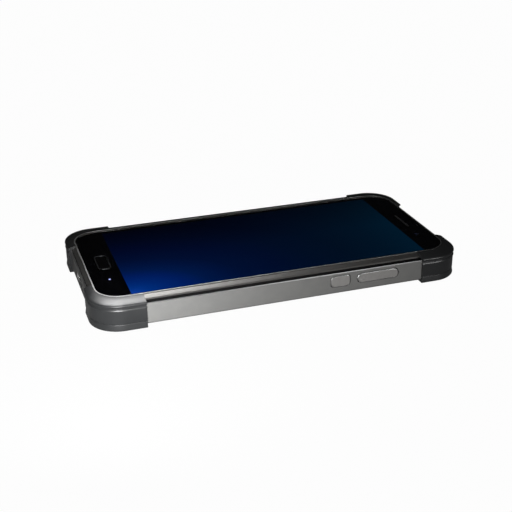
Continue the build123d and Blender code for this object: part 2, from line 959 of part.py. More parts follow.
def speaker_mesh():
    size = speaker_size[0], speaker_size[1], mesh_thickness
    return on(speaker_x(), speaker_y, z_floor - mesh_thickness, size)


def rear_camera():
    """Camera module with its lens barrel through the back."""
    body = on(rear_camera_x, 0, z_floor, (rear_camera_size, rear_camera_size, rear_camera_height))
    low = z_back + window_thickness + gap
    body += post(rear_camera_x, 0, low, z_floor, rear_lens_radius)
    inner = rear_lens_radius - rear_lens_rim
    return body - post(rear_camera_x, 0, low, low + rear_lens_sink, inner)


def rear_camera_window():
    low = z_back + fit
    return post(rear_camera_x, 0, low, low + window_thickness, window_radius)


def rear_camera_trim():
    """The metal ring round the camera's window."""
    low = z_back
    high = z_back + window_thickness + gap
    ring = post(rear_camera_x, 0, low, high, window_radius + trim_width)
    return ring - post(rear_camera_x, 0, low, high, window_radius + fit)


def flash_lens():
    return post(rear_camera_x, -flash_from_camera, z_back + fit, z_board, flash_radius)


# ---- Card tray --------------------------------------------------------------------------------


def tray_pockets():
    """Centre and size of the two card pockets, the memory card's first."""
    memory_y = tray_start + memory_margin + memory_size[1] / 2
    sim_y = memory_y + memory_size[1] / 2 + sim_size[1] / 2 + card_spacing
    return (memory_y, memory_size), (sim_y, sim_size)


def sim_tray():
    x0, x1 = tray_x - tray_width / 2, tray_x + tray_width / 2
    body = block(x0, x1, tray_start, tray_end, tray_z, tray_z + tray_thickness)
    middle = tray_z + tray_thickness / 2
    head = RectangleRounded(tray_head_width, tray_head_height, head_radius() - gap)
    body += along_y(head, tray_x, middle, tray_end, side_y - fit)
    pin = tray_x + tray_width / 2 - pin_hole_inset
    body -= along_y(Circle(pin_hole_radius), pin, middle, side_y - pin_hole_depth, side_y)
    for y, size in tray_pockets():
        room = size[0] + gap, size[1] + gap, tray_thickness
        body -= on(tray_x, y, tray_z + tray_floor, room)
    return body


def card(index):
    y, size = tray_pockets()[index]
    return on(tray_x, y, tray_z + tray_floor, size)


def card_socket():
    """The sheet metal housing on the main board that the tray slides into."""
    inner = tray_width / 2 + slack
    outer = inner + socket_wall
    low, high = tray_start - slack - socket_wall, tray_end - slack
    body = block(tray_x - outer, tray_x + outer, low, high, socket_low, socket_top)
    room = (low + socket_wall, high, socket_low + socket_wall, socket_top - socket_wall)
    return body - block(tray_x - inner, tray_x + inner, *room)


# ---- Vibration motor --------------------------------------------------------------------------


def vibration_motor():
    start = motor_y - motor_length
    bore = Circle(shaft_radius + running)
    body = along_y(Circle(motor_radius), motor_x, motor_z, start, motor_y)
    return body - along_y(bore, motor_x, motor_z, start, start + motor_bore)


def motor_shaft():
    end = motor_y - motor_length
    start = end - slack - weight_length
    return along_y(Circle(shaft_radius), motor_x, motor_z, start, end + shaft_inside)


def motor_weight():
    """The half-round weight that is off centre on the shaft."""
    end = motor_y - motor_length - slack
    start = end - weight_length
    disc = along_y(Circle(weight_radius), motor_x, motor_z, start, end)
    x0, x1 = motor_x - weight_radius, motor_x + weight_radius
    flat = motor_z + shaft_radius + weight_cap
    disc -= block(x0, x1, start, end, flat, motor_z + weight_radius)
    return disc - along_y(Circle(shaft_radius + shaft_hold), motor_x, motor_z, start, end)


# ---- Screws -----------------------------------------------------------------------------------


def screw(x, y, z_head, head_radius, head_height, shank_radius, reach, up):
    """A pan-head screw with a cross recess. up is 1 if it is driven upwards, -1 if downwards."""
    low, high = sorted((z_head, z_head + up * head_height))
    body = post(x, y, low, high, head_radius)
    start = z_head + up * head_height
    body += post(x, y, *sorted((start, start + up * reach)), shank_radius)
    face, depth = z_head, z_head + up * head_height / 2
    slot = head_radius * screw_slot_share
    for size in ((slot, screw_slot_width), (screw_slot_width, slot)):
        body -= on(x, y, min(face, depth), (*size, head_height / 2))
    return body


def case_screws():
    head = z_back + gap
    reach = z_skirt - head - case_head_height
    sizes = (head, case_head_radius, case_head_height, case_screw_radius, reach, 1)
    return Compound([screw(x, y, *sizes) for x, y in case_screws_at])


def board_screws():
    head = z_board_top + board_head_height
    reach = board_thickness + board_screw_depth
    sizes = (head, board_head_radius, board_head_height, board_screw_radius, reach, -1)
    return Compound([screw(x, y, *sizes) for x, y in board_screws_at])


# ---- All pieces -------------------------------------------------------------------------------

pieces = bumpers()
pieces |= {
    "rear_housing": rear_housing(),
    "front_bezel": front_bezel(),
    "bezel_gasket": bezel_gasket(),
    "mid_frame": mid_frame(),
    "cover_glass": cover_glass(),
    "display_panel": display_panel(),
    "display_flex": display_flex(),
    "display_connector": display_connector(),
    "earpiece_mesh": earpiece_mesh(),
    "earpiece_receiver": earpiece_receiver(),
    "front_camera": front_camera(),
    "key_light": key_light(),
    "home_ring": home_ring(),
    "home_key": home_key(),
    "home_switch": home_switch(),
    "power_key": power_key(),
    "power_switch": power_switch(),
    "volume_key": volume_key(),
    "volume_pivot": volume_pivot(),
    "volume_switches": volume_switches(),
    "key_flex": key_flex(),
    "key_bracket": key_bracket(),
    "main_board": main_board(),
    "sub_board": sub_board(),
    "battery": battery(),
    "battery_tapes": battery_tapes(),
    "battery_lead": battery_lead(),
    "link_flex": link_flex(),
    "link_connectors": link_connectors(),
    "processor": chip_in(processor_bay()),
    "processor_shield": shield_can(*processor_bay()),
    "radio_chip": chip_in(radio_bay()),
    "radio_shield": shield_can(*radio_bay()),
    "gnss_antenna": gnss_antenna(),
    "usb_port": usb_port(),
    "port_tongue": port_tongue(),
    "microphone": microphone(),
    "loudspeaker": loudspeaker(),
    "speaker_mesh": speaker_mesh(),
    "rear_camera": rear_camera(),
    "rear_camera_window": rear_camera_window(),
    "rear_camera_trim": rear_camera_trim(),
    "flash_lens": flash_lens(),
    "sim_tray": sim_tray(),
    "memory_card": card(0),
    "sim_card": card(1),
    "card_socket": card_socket(),
    "vibration_motor": vibration_motor(),
    "motor_shaft": motor_shaft(),
    "motor_weight": motor_weight(),
    "case_screws": case_screws(),
    "board_screws": board_screws(),
}

for name, shape in pieces.items():
    write(name, shape)
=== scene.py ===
import json
import logging
import math
from collections.abc import Callable, Sequence
from dataclasses import astuple, dataclass, field, replace
from enum import Enum

import bpy
from bpy.types import Material, MeshVertex, Node, NodeSocket, NodeTree, Object, World
from mathutils import Matrix, Vector

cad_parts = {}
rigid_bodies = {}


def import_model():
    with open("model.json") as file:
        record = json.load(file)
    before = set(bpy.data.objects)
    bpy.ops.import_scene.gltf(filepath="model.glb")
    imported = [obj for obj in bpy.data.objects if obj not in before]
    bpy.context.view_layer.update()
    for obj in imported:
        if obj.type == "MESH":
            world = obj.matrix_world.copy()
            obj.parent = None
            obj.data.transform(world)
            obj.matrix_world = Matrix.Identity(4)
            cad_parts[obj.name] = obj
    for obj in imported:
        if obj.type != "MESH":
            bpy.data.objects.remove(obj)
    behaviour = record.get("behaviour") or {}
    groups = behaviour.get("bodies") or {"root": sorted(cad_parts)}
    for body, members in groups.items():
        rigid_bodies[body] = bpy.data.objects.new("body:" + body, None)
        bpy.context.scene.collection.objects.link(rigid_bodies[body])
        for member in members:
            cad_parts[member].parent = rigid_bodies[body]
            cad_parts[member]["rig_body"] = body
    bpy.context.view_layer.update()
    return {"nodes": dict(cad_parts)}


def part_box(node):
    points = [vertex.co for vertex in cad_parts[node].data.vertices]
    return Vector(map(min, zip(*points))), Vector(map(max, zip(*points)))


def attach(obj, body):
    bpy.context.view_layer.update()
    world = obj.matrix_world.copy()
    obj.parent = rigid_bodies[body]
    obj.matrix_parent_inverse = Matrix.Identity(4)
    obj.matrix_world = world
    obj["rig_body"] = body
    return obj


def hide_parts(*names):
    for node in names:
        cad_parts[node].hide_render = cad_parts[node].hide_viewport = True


# A pocket data collector in smartphone form, lying on its back. +X is the earpiece end, -Y the
# side with the keys, +Z comes out of the screen.

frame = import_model()

log = logging.getLogger("data_collector")
MM = 0.001
LIFT = 0.002  # millimetres between lines that would lie level
MERGE = 1e-6  # metres within which points are one
FLAT = 0.5  # degrees within which faces are one flat face
EDGE = 35  # degrees from which two faces meet in an edge that is broken
SHARP = 32  # degrees from which an edge is shaded sharp
EDGE_FACES = 2  # faces across a broken edge
LINE_FACES = 3  # faces across a rounded line of a lofted body
FACE_WEIGHT = 80  # how far large faces rule the shading at their edges


# ---- Modelling by hand ----


@dataclass(frozen=True)
class Outline:
    """A rounded rectangle seen from above, in millimetres.

    Args:
        length: size along X.
        width: size along Y.
        radius: radius of its corners.
        x: middle along X.
        y: middle along Y.
    """

    length: float
    width: float
    radius: float
    x: float = 0.0
    y: float = 0.0

    def grown(self, by: float) -> "Outline":
        """Returns the same outline, moved outwards all round by a distance."""
        return replace(
            self, length=self.length + 2 * by, width=self.width + 2 * by, radius=self.radius + by
        )

    def between(self, other: "Outline", share: float) -> "Outline":
        """Returns the outline at a share of the way from this one to another."""
        pairs = zip(astuple(self), astuple(other))
        return Outline(*(a + (b - a) * share for a, b in pairs))


@dataclass(frozen=True)
class Section:
    """One closed line of a lofted body.

    Args:
        outline: its form seen from above.
        z: its height in millimetres.
        soft: radius that its edge is rounded with, in millimetres.
    """

    outline: Outline
    z: float
    soft: float = 0.0


class Slot(Enum):
    """The record's material slots, one of which each modelled piece is listed with."""

    BEZEL = "bezel_metal"
    BUMPER = "bumper_rubber"
    CASE = "case_metal"
    CHIP = "chip_black"
    DISPLAY = "display"
    GLASS = "cover_glass"
    HOME_KEY = "key_black"
    LENS = "lens"
    LIGHT = "light_guide"
    MESH = "mesh"
    SCREW = "screw_steel"
    SEAL = "seal_rubber"
    SHIELD = "shield_steel"
    SIDE_KEY = "key_metal"
    TRAY = "tray_metal"
    TRIM = "trim_metal"


def box_mm(*nodes: str) -> tuple[Vector, Vector]:
    """The box round CAD nodes.

    Args:
        nodes: the nodes' names.

    Returns:
        Its low and its high corner, in millimetres.
    """
    boxes = [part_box(name) for name in nodes]
    low = Vector([min(b[0][i] for b in boxes) for i in range(3)])
    high = Vector([max(b[1][i] for b in boxes) for i in range(3)])
    return low / MM, high / MM


def outline_of(radius: float, *nodes: str) -> Outline:
    """The outline of CAD nodes seen from above.

    Args:
        radius: radius of the corners, in millimetres.
        nodes: the nodes' names.

    Returns:
        A rounded rectangle as large as the nodes' box.
    """
    low, high = box_mm(*nodes)
    mid = (low + high) / 2
    return Outline(high.x - low.x, high.y - low.y, radius, mid.x, mid.y)


def alone(obj: Object) -> None:
    """Selects one object and nothing else, and makes it the active one.

    Args:
        obj: the object.
    """
    bpy.ops.object.select_all(action="DESELECT")
    obj.select_set(True)
    bpy.context.view_layer.objects.active = obj


def apply_all(obj: Object) -> None:
    """Applies each modifier of a piece, in order.

    Args:
        obj: the piece.
    """
    alone(obj)
    for modifier in list(obj.modifiers):
        bpy.ops.object.modifier_apply(modifier=modifier.name)


def pick(obj: Object, wanted: Callable[[MeshVertex], bool]) -> None:
    """Selects some of a piece's vertices and nothing else, in object mode.

    Args:
        obj: the piece.
        wanted: tells for a vertex whether it is taken.
    """
    mesh = obj.data
    for part in (mesh.polygons, mesh.edges):
        part.foreach_set("select", [False] * len(part))
    mesh.vertices.foreach_set("select", [wanted(v) for v in mesh.vertices])


def take_all() -> None:
    """Selects all of the piece that is in edit mode."""
    bpy.ops.mesh.select_all(action="SELECT")


def edit(obj: Object, *steps: Callable[[], object]) -> None:
    """Carries out operators on a piece in edit mode.

    Args:
        obj: the piece.
        steps: calls that each run one operator.
    """
    alone(obj)
    bpy.ops.object.mode_set(mode="EDIT")
    for step in steps:
        step()
    bpy.ops.object.mode_set(mode="OBJECT")


def closed_line(section: Section, steps: int) -> Object:
    """A plane whose corners are rounded and whose face is taken out.

    Args:
        section: outline and height.
        steps: edges in each corner.

    Returns:
        The object with the closed line of edges.
    """
    bpy.ops.object.select_all(action="DESELECT")
    bpy.ops.mesh.primitive_plane_add(size=MM)
    line = section.outline
    middle = [place * MM for place in (line.x, line.y, section.z)]
    edit(
        bpy.context.object,
        take_all,
        lambda: bpy.ops.transform.resize(value=(line.length, line.width, 1)),
        lambda: bpy.ops.mesh.bevel(offset=line.radius * MM, segments=steps, affect="VERTICES"),
        lambda: bpy.ops.transform.translate(value=middle),
        lambda: bpy.ops.mesh.delete(type="ONLY_FACE"),
    )
    return bpy.context.object


def loft(name: str, sections: Sequence[Section], steps: int, ring: bool = False) -> Object:
    """A solid body that passes through closed lines, from the first to the last.

    Args:
        name: the piece's name.
        sections: the lines, in order.
        steps: edges in each corner of a line.
        ring: whether the last line is joined to the first, as on a frame. Else both get a face.

    Returns:
        The piece, with each line's edge rounded as its section asks.
    """
    sections = apart(sections, ring)
    body = closed_line(sections[0], steps)
    count = len(body.data.vertices)
    for i, section in enumerate(sections[1:], 1):
        line = closed_line(section, steps)
        alone(body)
        line.select_set(True)
        bpy.ops.object.join()
        bridge(body, count, (i - 1, i))
    last = len(sections) - 1
    if ring:
        bridge(body, count, (last, 0))
    else:
        for end in (0, last):
            pick(body, lambda v: v.index // count == end)
            edit(body, lambda: bpy.ops.mesh.edge_face_add())
    round_lines(body, [s.soft for s in sections], count)
    body.name = body.data.name = name
    outward(body)
    return body


def apart(sections: Sequence[Section], ring: bool) -> list[Section]:
    """Lifts lines by two microns where they lie level with their neighbour.

    Level lines with the same middle leave it to chance which way they are joined.

    Args:
        sections: the lines, in order.
        ring: whether the last line is joined to the first.

    Returns:
        The lines, with no two neighbours at one height.
    """
    lifted = [sections[0]]
    for section in sections[1:]:
        level = abs(section.z - lifted[-1].z) < LIFT / 2
        lifted.append(replace(section, z=section.z + LIFT) if level else section)
    if ring and abs(lifted[-1].z - lifted[0].z) < LIFT / 2:
        lifted[-1] = replace(lifted[-1], z=lifted[-1].z + LIFT)
    return lifted


def bridge(body: Object, count: int, lines: tuple[int, int]) -> None:
    """Joins two of a body's lines by faces.

    Args:
        body: the lofted body.
        count: vertices in each line.
        lines: the two lines.
    """
    pick(body, lambda v: v.index // count in lines)
    edit(body, lambda: bpy.ops.mesh.bridge_edge_loops())


def round_lines(body: Object, radii: Sequence[float], count: int) -> None:
    """Rounds each line's edge of a lofted body with its own radius.

    Args:
        body: the lofted body.
        radii: radius of each line, in millimetres.
        count: vertices in each line.
    """
    widest = max(radii)
    if widest == 0:
        return
    weights = body.data.attributes.new("bevel_weight_edge", "FLOAT", "EDGE")
    for edge in body.data.edges:
        a, b = (index // count for index in edge.vertices)
        weights.data[edge.index].value = radii[a] / widest if a == b else 0.0
    bevel = body.modifiers.new("rounding", "BEVEL")
    bevel.limit_method = "WEIGHT"
    bevel.width = widest * MM
    bevel.segments = LINE_FACES
    bevel.use_clamp_overlap = False
    apply_all(body)


def outward(obj: Object) -> None:
    """Merges a piece's doubles and turns its faces outwards.

    Args:
        obj: the piece.
    """
    edit(
        obj,
        take_all,
        lambda: bpy.ops.mesh.remove_doubles(threshold=MERGE),
        lambda: bpy.ops.mesh.normals_make_consistent(inside=False),
    )


def cut(obj: Object, at: Vector, normal: Vector) -> None:
    """Cuts away all that lies beyond a plane, and closes the cut.

    Args:
        obj: the piece.
        at: a point of the plane, in millimetres.
        normal: the way out of what stays.
    """
    edit(
        obj,
        take_all,
        lambda: bpy.ops.mesh.bisect(plane_co=at * MM, plane_no=normal, clear_outer=True),
        take_all,
        lambda: bpy.ops.mesh.fill_holes(sides=0),
    )


def subtract(obj: Object, tool: Object) -> None:
    """Takes one closed body out of another, and checks that the rest is whole.

    Args:
        obj: the piece.
        tool: what is taken out. It is removed.
    """
    least = len(obj.data.polygons)
    modifier = obj.modifiers.new("opening", "BOOLEAN")
    modifier.object = tool
    modifier.solver = "EXACT"
    apply_all(obj)
    bpy.data.objects.remove(tool)
    if len(obj.data.polygons) < least:
        raise ValueError(f"{obj.name}: the opening took the piece's own faces away")


def break_edges(obj: Object, width: float) -> None:
    """Rounds a piece's sharp edges a little, as tools and moulds leave them.

    Args:
        obj: the piece.
        width: how wide, in millimetres.
    """
    bevel = obj.modifiers.new("broken_edges", "BEVEL")
    bevel.limit_method = "ANGLE"
    bevel.angle_limit = math.radians(EDGE)
    bevel.width = width * MM
    bevel.segments = EDGE_FACES
    bevel.miter_outer = "MITER_ARC"
    apply_all(obj)


def smooth(obj: Object) -> None:
    """Shades a piece smooth, apart from its sharp edges.

    Args:
        obj: the piece.
    """
    alone(obj)
    bpy.ops.object.shade_smooth_by_angle(angle=math.radians(SHARP))
    flat = obj.modifiers.new("flat_faces", "WEIGHTED_NORMAL")
    flat.keep_sharp = True
    flat.weight = FACE_WEIGHT
    apply_all(obj)


def copy_of(node: str, name: str) -> Object:
    """A copy of a CAD node with its doubles merged and its flat faces joined.

    Args:
        node: the CAD node.
        name: the new piece's name.

    Returns:
        The copy, ready to be modelled further.
    """
    piece = bpy.data.objects.new(name, frame["nodes"][node].data.copy())
    piece.data.name = name
    bpy.context.scene.collection.objects.link(piece)
    edit(
        piece,
        take_all,
        lambda: bpy.ops.mesh.remove_doubles(threshold=2 * MERGE),
        lambda: bpy.ops.mesh.customdata_custom_splitnormals_clear(),
        lambda: bpy.ops.mesh.dissolve_limited(angle_limit=math.radians(FLAT), delimit=set()),
    )
    return piece


def settle(piece: Object, finish: "Finish", slot: Slot, *nodes: str) -> Object:
    """Gives a finished piece its material, its body and the CAD nodes that it stands for.

    Args:
        piece: the piece, at the origin with its place in its mesh.
        finish: its surface.
        slot: its material slot; not used.
        nodes: the CAD nodes that it replaces, without which it rides on the case.

    Returns:
        The piece.
    """
    smooth(piece)
    piece.data.materials.clear()
    piece.data.materials.append(finish.material())
    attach(piece, frame["nodes"][nodes[0]]["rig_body"] if nodes else "case")
    if nodes:
        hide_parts(*nodes)
    log.info("%s: %d faces, %s", piece.name, len(piece.data.polygons), finish.name)
    return piece


def accent(piece: Object, finish: "Finish", wanted: Callable[[Vector, Vector], bool]) -> None:
    """Gives some faces of a piece a second finish.

    Args:
        piece: the piece, with its first material.
        finish: the second finish.
        wanted: tells for a face's middle, in millimetres, and its normal whether it is taken.
    """
    piece.data.materials.append(finish.material())
    last = len(piece.data.materials) - 1
    for face in piece.data.polygons:
        if wanted(face.center / MM, face.normal):
            face.material_index = last


# ---- Finishes ----


def linear(colour: str) -> tuple[float, float, float, float]:
    """Turns an sRGB hex colour into the linear colour that Blender works with."""
    channels = [int(colour[i : i + 2], 16) / 255 for i in (1, 3, 5)]
    return (*(c / 12.92 if c <= 0.04045 else ((c + 0.055) / 1.055) ** 2.4 for c in channels), 1.0)


def cleared(data: Material | World) -> NodeTree:
    """Turns on the nodes of a material or world, and empties them.

    Args:
        data: the material or world.

    Returns:
        Its nodes.
    """
    data.use_nodes = True
    data.node_tree.nodes.clear()
    return data.node_tree


def add(tree: NodeTree, kind: str, inputs: dict[str | int, object], **settings: object) -> Node:
    """Adds a node with its values, links and settings.

    Args:
        tree: the material's or world's nodes.
        kind: the node's type.
        inputs: for each input, a value, or another node's output to link to it.
        settings: the node's own properties.

    Returns:
        The node.
    """
    node = tree.nodes.new(kind)
    for key, value in settings.items():
        setattr(node, key, value)
    for key, value in inputs.items():
        if isinstance(value, NodeSocket):
            tree.links.new(value, node.inputs[key])
        else:
            node.inputs[key].default_value = value
    return node


def paint(ramp: Node, stops: Sequence[tuple[float, str]]) -> None:
    """Sets a colour ramp's stops.

    Args:
        ramp: the ramp node.
        stops: place from 0 to 1 and colour of each.
    """
    elements = ramp.color_ramp.elements
    while len(elements) > 1:
        elements.remove(elements[-1])
    for i, (at, colour) in enumerate(stops):
        element = elements[0] if i == 0 else elements.new(at)
        element.position = at
        element.color = linear(colour)


def per_metre(size: float) -> float:
    """The scale that gives a noise or cell texture features of a size in millimetres."""
    return 1 / (size * MM)


@dataclass(frozen=True)
class Finish:
    """A surface with fine grain and slight mottling.

    Args:
        name: what the real material is and how it was made.
        colour: its colour.
        second: the colour that it varies to.
        roughness: its mean roughness.
        spread: how far the roughness varies.
        metallic: 1 for a bare metal.
        ior: index of refraction.
        grain: size of the surface grain in millimetres.
        depth: depth of the grain in millimetres.
        mottle: size of the colour's variation in millimetres.
        stretch: how much longer the grain is along X, Y and Z.
    """

    name: str
    colour: str
    second: str
    roughness: float
    spread: float = 0.06
    metallic: float = 0.0
    ior: float = 1.5
    grain: float = 0.3
    depth: float = 0.01
    mottle: float = 6.0
    stretch: tuple[float, float, float] = (1.0, 1.0, 1.0)

    def material(self) -> Material:
        """Makes the material, unless it was made before.

        Returns:
            The material.
        """
        done = bpy.data.materials.get(self.name)
        if done:
            return done
        made = bpy.data.materials.new(self.name)
        tree = cleared(made)
        add(tree, "ShaderNodeOutputMaterial", {"Surface": self.shader(tree).outputs[0]})
        return made

    def place(self, tree: NodeTree) -> NodeSocket:
        """Object coordinates, drawn out along the grain."""
        values = {
            "Vector": add(tree, "ShaderNodeTexCoord", {}).outputs["Object"],
            "Scale": [1 / share for share in self.stretch],
        }
        return add(tree, "ShaderNodeMapping", values).outputs[0]

    def height(self, tree: NodeTree) -> NodeSocket:
        """The surface's height, from 0 to 1."""
        values = {
            "Vector": self.place(tree),
            "Scale": per_metre(self.grain),
            "Detail": 2.0,
            "Roughness": 0.6,
        }
        return add(tree, "ShaderNodeTexNoise", values).outputs[0]

    def tint(self, tree: NodeTree) -> NodeSocket:
        """Mixes the finish's two colours.

        Args:
            tree: the material's nodes.

        Returns:
            The colour.
        """
        values = {"Vector": self.place(tree), "Scale": per_metre(self.mottle), "Detail": 3.0}
        cloud = add(tree, "ShaderNodeTexNoise", values).outputs[0]
        ramp = add(tree, "ShaderNodeValToRGB", {"Fac": cloud})
        paint(ramp, [(0.3, self.colour), (0.7, self.second)])
        return ramp.outputs[0]

    def shader(self, tree: NodeTree) -> Node:
        """Puts colour, roughness and bump together.

        Args:
            tree: the material's nodes.

        Returns:
            The shader.
        """
        height = self.height(tree)
        low, high = self.roughness - self.spread, self.roughness + self.spread
        rough = add(tree, "ShaderNodeMapRange", {"Value": height, "To Min": low, "To Max": high})
        bump = add(tree, "ShaderNodeBump", {"Height": height, "Distance": self.depth * MM})
        values = {
            "Base Color": self.tint(tree),
            "Roughness": rough.outputs[0],
            "Normal": bump.outputs[0],
            "Metallic": self.metallic,
            "IOR": self.ior,
        }
        return add(tree, "ShaderNodeBsdfPrincipled", values)


@dataclass(frozen=True)
class Woven(Finish):
    """Fine round holes in rows, as in a woven or etched mesh. grain is the holes' spacing.

    Args:
        hole_shade: the holes' colour.
        rise: where a hole's edge starts and ends, from its middle, as shares of the spacing.
    """
    # hole_shade: the holes' colour, near black: painted shade for the dark seen through them.

    # The holes' near black is painted shade, for the dark behind the mesh.
    hole_shade: str = "#050505"
    rise: tuple[float, float] = (0.25, 0.4)

    def height(self, tree: NodeTree) -> NodeSocket:
        """Lays the holes in rows.

        Args:
            tree: the material's nodes.

        Returns:
            1 on the wires and 0 in the holes.
        """
        values = {"Vector": self.place(tree), "Scale": per_metre(self.grain), "Randomness": 0.0}
        far = add(tree, "ShaderNodeTexVoronoi", values, feature="F1").outputs["Distance"]
        edge = {"Value": far, "From Min": self.rise[0], "From Max": self.rise[1]}
        return add(tree, "ShaderNodeMapRange", edge).outputs[0]

    def tint(self, tree: NodeTree) -> NodeSocket:
        """Colours wires and holes.

        Args:
            tree: the material's nodes.

        Returns:
            The colour.
        """
        # The holes get the painted shade colour.
        ramp = add(tree, "ShaderNodeValToRGB", {"Fac": self.height(tree)})
        paint(ramp, [(0.2, self.hole_shade), (0.8, self.colour)])
        return ramp.outputs[0]


@dataclass(frozen=True)
class Circuit(Finish):
    """A board's solder mask over copper tracks. grain is the tracks' spacing.

    Args:
        track: the colour over a track.
        width: a track's width as a share of the spacing.
    """

    track: str = "#2f6b46"
    width: float = 0.012

    def tint(self, tree: NodeTree) -> NodeSocket:
        """Draws lighter tracks round blocks.

        Args:
            tree: the material's nodes.

        Returns:
            The colour.
        """
        values = {
            "Vector": self.place(tree),
            "Color1": linear(self.colour),
            "Color2": linear(self.second),
            "Mortar": linear(self.track),
            "Scale": per_metre(self.grain),
            "Mortar Size": self.width,
        }
        block = {"offset": 0.37, "squash": 0.6, "squash_frequency": 3}
        return add(tree, "ShaderNodeTexBrick", values, **block).outputs[0]


@dataclass(frozen=True)
class Clear(Finish):
    """Clear glass or plastic, with a trace of smudges in its roughness.

    Args:
        clean: the share of the noise that shows no smudge.
    """

    clean: float = 0.45

    def shader(self, tree: NodeTree) -> Node:
        """Lets light through, with gloss that varies a little.

        Args:
            tree: the material's nodes.

        Returns:
            The shader.
        """
        low, high = self.roughness, self.roughness + self.spread
        values = {"Vector": self.place(tree), "Scale": per_metre(self.mottle), "Detail": 4.0}
        cloud = add(tree, "ShaderNodeTexNoise", values).outputs[0]
        smudge = {"Value": cloud, "From Min": self.clean, "To Min": low, "To Max": high}
        values = {
            "Base Color": linear(self.colour),
            "Roughness": add(tree, "ShaderNodeMapRange", smudge).outputs[0],
            "IOR": self.ior,
            "Transmission Weight": 1.0,
        }
        return add(tree, "ShaderNodeBsdfPrincipled", values)


@dataclass(frozen=True)
class Glowing(Finish):
    """A small light guide that is lit from behind. strength is its light, 1 as white paper's."""

    strength: float = 1.0

    def shader(self, tree: NodeTree) -> Node:
        """Gives the plain finish its own light.

        Args:
            tree: the material's nodes.

        Returns:
            The shader.
        """
        shader = super().shader(tree)
        shader.inputs["Emission Color"].default_value = linear(self.second)
        shader.inputs["Emission Strength"].default_value = self.strength
        return shader


@dataclass(frozen=True)
class Screen(Finish):
    """A lit display that shows a plain gradient: a glow in one corner that sinks into dark blue.

    Args:
        corner: where the glow is, in millimetres.
        reach: how far the glow reaches, in millimetres.
        squeeze: how much slower it sinks along X than along Y.
        start: low end of the slow change along X, in millimetres.
        length: length of that change, in millimetres.
        far: what is left of the slow change at the side away from the glow.
        glow: the glow's colours, from its middle outwards.
        wide: the slow change's colours, along X.
    """

    corner: tuple[float, float] = (-60.0, -30.0)
    reach: float = 60.0
    squeeze: float = 0.65
    start: float = -60.0
    length: float = 122.0
    far: float = 0.45
    glow: tuple[tuple[float, str], ...] = (
        (0.0, "#0e3a94"), (0.083, "#002b76"), (0.167, "#002164"), (0.25, "#001955"),
        (0.333, "#00143e"), (0.417, "#000e32"), (0.5, "#000925"), (0.667, "#000419"),
        (0.833, "#00020a"), (1.0, "#000000"),
    )
    wide: tuple[tuple[float, str], ...] = (
        (0.0, "#000318"), (0.3, "#00051a"), (0.5, "#00081d"), (0.62, "#000b1f"),
        (0.75, "#000e20"), (0.87, "#001223"), (1.0, "#001829"),
    )

    def shader(self, tree: NodeTree) -> Node:
        """Adds both gradients up as light, on a dark panel.

        Args:
            tree: the material's nodes.

        Returns:
            The shader.
        """
        maths, spread = "ShaderNodeVectorMath", "ShaderNodeMapRange"
        where = add(tree, "ShaderNodeTexCoord", {}).outputs["Object"]
        squeeze = Vector((self.squeeze, 1.0, 0.0))
        middle = Vector((self.corner[0] * self.squeeze, self.corner[1], 0.0)) * MM
        flat = add(tree, maths, {0: where, 1: squeeze}, operation="MULTIPLY").outputs[0]
        away = add(tree, maths, {0: flat, 1: middle}, operation="DISTANCE").outputs["Value"]
        near = add(tree, spread, {"Value": away, "From Min": 0.0, "From Max": self.reach * MM})
        glow = add(tree, "ShaderNodeValToRGB", {"Fac": near.outputs[0]})
        paint(glow, self.glow)
        axes = add(tree, "ShaderNodeSeparateXYZ", {0: where}).outputs
        start, end = self.start * MM, (self.start + self.length) * MM
        share = add(tree, spread, {"Value": axes["X"], "From Min": start, "From Max": end})
        wide = add(tree, "ShaderNodeValToRGB", {"Fac": share.outputs[0]})
        paint(wide, self.wide)
        across = {
            "Value": axes["Y"],
            "From Min": 0.0,
            "From Max": -self.corner[1] * MM,
            "To Min": 1.0,
            "To Max": self.far,
        }
        fade = add(tree, spread, across).outputs[0]
        faded = add(tree, maths, {0: wide.outputs[0], "Scale": fade}, operation="SCALE")
        both = add(tree, maths, {0: glow.outputs[0], 1: faded.outputs[0]}, operation="ADD")
        values = {
            "Base Color": linear(self.colour),
            "Roughness": self.roughness,
            "Specular IOR Level": 0.0,
            "Emission Color": both.outputs[0],
            "Emission Strength": 1.0,
        }
        return add(tree, "ShaderNodeBsdfPrincipled", values)


# Moulded soft rubber (TPU): dark, with a satin sheen and a fine spark-eroded grain.
RUBBER = Finish(
    "moulded_rubber", "#2a2b2c", "#303132", roughness=0.36, spread=0.04, ior=1.5, grain=0.25,
    depth=0.006, mottle=9.0,
)
# Silver lacquer on die-cast alloy: few metal flakes under a clear coat, so soft wide lights.
LACQUER = Finish(
    "silver_lacquer", "#7e7e7d", "#838381", roughness=0.45, metallic=0.1, ior=1.35, grain=0.15,
    depth=0.002, mottle=4.0,
)
# The bezel's lacquer holds more flakes: darker than the housing's, with sharper lights.
BEZEL = Finish(
    "bezel_lacquer", "#646361", "#6b6a68", roughness=0.37, metallic=0.7, ior=1.3, grain=0.12,
    depth=0.002, mottle=4.0,
)
# The bezel's lip and the housing's rim are cut with a diamond tool: bright bare metal.
CUT = Finish(
    "diamond_cut_edge", "#c4c5c6", "#cecfcf", roughness=0.34, spread=0.04, metallic=1.0,
    grain=0.2, depth=0.0005, mottle=2.0,
)
# Foamed silicone seal: black and dull.
SEAL = Finish("silicone_seal", "#060607", "#0a0a0b", roughness=0.8, ior=1.2, grain=0.2, mottle=3.0)
# Hardened glass with a coating that takes most of its reflection away.
GLASS = Clear("coated_glass", "#ffffff", "#ffffff", roughness=0.02, spread=0.05, ior=1.12,
              mottle=12.0)
# Clear glass before the rear camera, with a cold cast.
WINDOW = Clear("camera_glass", "#f4f8fb", "#ffffff", roughness=0.02, spread=0.02, ior=1.45)
# Screen printing ink behind the glass: deep black, and its bond with the glass mirrors nothing.
PRINT = Finish("printed_ink", "#020203", "#030304", roughness=0.6, grain=0.1, depth=0.001,
               ior=1.0)
